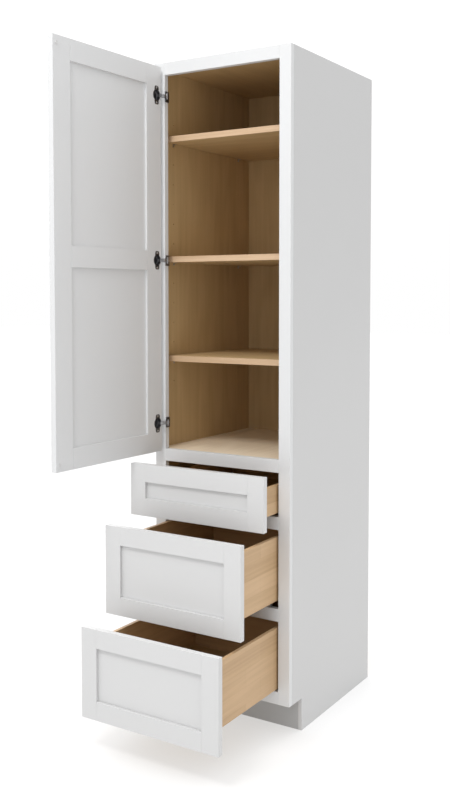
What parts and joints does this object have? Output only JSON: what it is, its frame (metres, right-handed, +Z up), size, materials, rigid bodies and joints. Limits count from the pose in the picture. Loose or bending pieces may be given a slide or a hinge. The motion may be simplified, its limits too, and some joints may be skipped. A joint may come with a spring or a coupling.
{
  "type": "pantry cabinet",
  "caption": "Tall face-frame pantry cabinet: a recessed-panel door above a stack of pull-out drawers, adjustable shelves behind the door and a toe space below.",
  "frame": {"origin": "on the rear face of the back panel, at the centre of the cabinet's width and at floor level", "axes": "+X to the right as seen from the front, +Y to the wall behind (the front faces -Y), +Z up"},
  "size_m": [0.5104, 1.0968, 2.134],
  "materials": {
    "white_paint": "satin white paint over wood",
    "plywood": "clear satin lacquer on plywood veneer",
    "maple": "clear satin lacquer on solid maple",
    "zinc_steel": "zinc plated sheet",
    "bright_steel": "nickel plated, bright",
    "dark_nickel": "nickel plated, satin",
    "grey_plastic": "moulded, matt",
    "soft_bumper": "translucent soft dome"
  },
  "bodies": {
    "cabinet": {"side_panel_left": "white_paint", "side_panel_right": "white_paint", "back_panel": "plywood", "top_panel": "plywood", "pantry_floor": "plywood", "bottom_panel": "plywood", "toe_board": "white_paint", "frame_stile_left": "white_paint", "frame_stile_right": "white_paint", "frame_top_rail": "white_paint", "frame_mid_rail": "white_paint", "frame_drawer_rails": "white_paint", "frame_bottom_rail": "white_paint", "shelf_lower": "plywood", "shelf_middle": "plywood", "shelf_upper": "plywood", "shelf_edges": "maple", "shelf_pins": "bright_steel", "hinge_clips": "dark_nickel", "hinge_pins": "bright_steel", "runner_fixed": "zinc_steel", "runner_brackets": "grey_plastic"},
    "door": {"door_stile_hinge": "white_paint", "door_stile_free": "white_paint", "door_top_rail": "white_paint", "door_mid_rail": "white_paint", "door_bottom_rail": "white_paint", "door_panel_upper": "white_paint", "door_panel_lower": "white_paint", "hinge_cups": "dark_nickel", "hinge_cup_screws": "bright_steel", "door_bumpers": "soft_bumper"},
    "hinge_link": {"hinge_links": "dark_nickel"},
    "drawer_1": {"drawer_1_front_stiles": "white_paint", "drawer_1_front_rails": "white_paint", "drawer_1_front_panel": "white_paint", "drawer_1_box_sides": "maple", "drawer_1_box_front": "maple", "drawer_1_box_back": "maple", "drawer_1_box_bottom": "maple", "drawer_1_runner": "zinc_steel"},
    "drawer_1_middle": {"drawer_1_runner_middle": "zinc_steel"},
    "drawer_2": {"drawer_2_front_stiles": "white_paint", "drawer_2_front_rails": "white_paint", "drawer_2_front_panel": "white_paint", "drawer_2_box_sides": "maple", "drawer_2_box_front": "maple", "drawer_2_box_back": "maple", "drawer_2_box_bottom": "maple", "drawer_2_runner": "zinc_steel"},
    "drawer_2_middle": {"drawer_2_runner_middle": "zinc_steel"},
    "drawer_3": {"drawer_3_front_stiles": "white_paint", "drawer_3_front_rails": "white_paint", "drawer_3_front_panel": "white_paint", "drawer_3_box_sides": "maple", "drawer_3_box_front": "maple", "drawer_3_box_back": "maple", "drawer_3_box_bottom": "maple", "drawer_3_runner": "zinc_steel"},
    "drawer_3_middle": {"drawer_3_runner_middle": "zinc_steel"}
  },
  "joints": [
    {"name": "door_hinge", "type": "hinge", "parent": "cabinet", "child": "door", "pos_m": [-0.238, -0.6125, 0], "axis": [0, 0, -1], "range_deg": [-92, 11]},
    {"name": "hinge_link_swing", "type": "hinge", "parent": "cabinet", "child": "hinge_link", "pos_m": [-0.20492, -0.59001, 0], "axis": [0, 0, -1], "range_deg": [-5, 40]},
    {"name": "drawer_1_slide", "type": "slide", "parent": "cabinet", "child": "drawer_1", "axis": [0, -1, 0], "range_m": [-0.124, 0.396]},
    {"name": "drawer_1_middle_slide", "type": "slide", "parent": "cabinet", "child": "drawer_1_middle", "axis": [0, -1, 0], "range_m": [-0.062, 0.198]},
    {"name": "drawer_2_slide", "type": "slide", "parent": "cabinet", "child": "drawer_2", "axis": [0, -1, 0], "range_m": [-0.253, 0.267]},
    {"name": "drawer_2_middle_slide", "type": "slide", "parent": "cabinet", "child": "drawer_2_middle", "axis": [0, -1, 0], "range_m": [-0.1265, 0.1335]},
    {"name": "drawer_3_slide", "type": "slide", "parent": "cabinet", "child": "drawer_3", "axis": [0, -1, 0], "range_m": [-0.369, 0.151]},
    {"name": "drawer_3_middle_slide", "type": "slide", "parent": "cabinet", "child": "drawer_3_middle", "axis": [0, -1, 0], "range_m": [-0.1845, 0.0755]}
  ],
  "couplings": [
    {"joint": "hinge_link_swing", "follows": "door_hinge", "ratio": -0.42536},
    {"joint": "drawer_1_middle_slide", "follows": "drawer_1_slide", "ratio": 0.5},
    {"joint": "drawer_2_middle_slide", "follows": "drawer_2_slide", "ratio": 0.5},
    {"joint": "drawer_3_middle_slide", "follows": "drawer_3_slide", "ratio": 0.5}
  ]
}
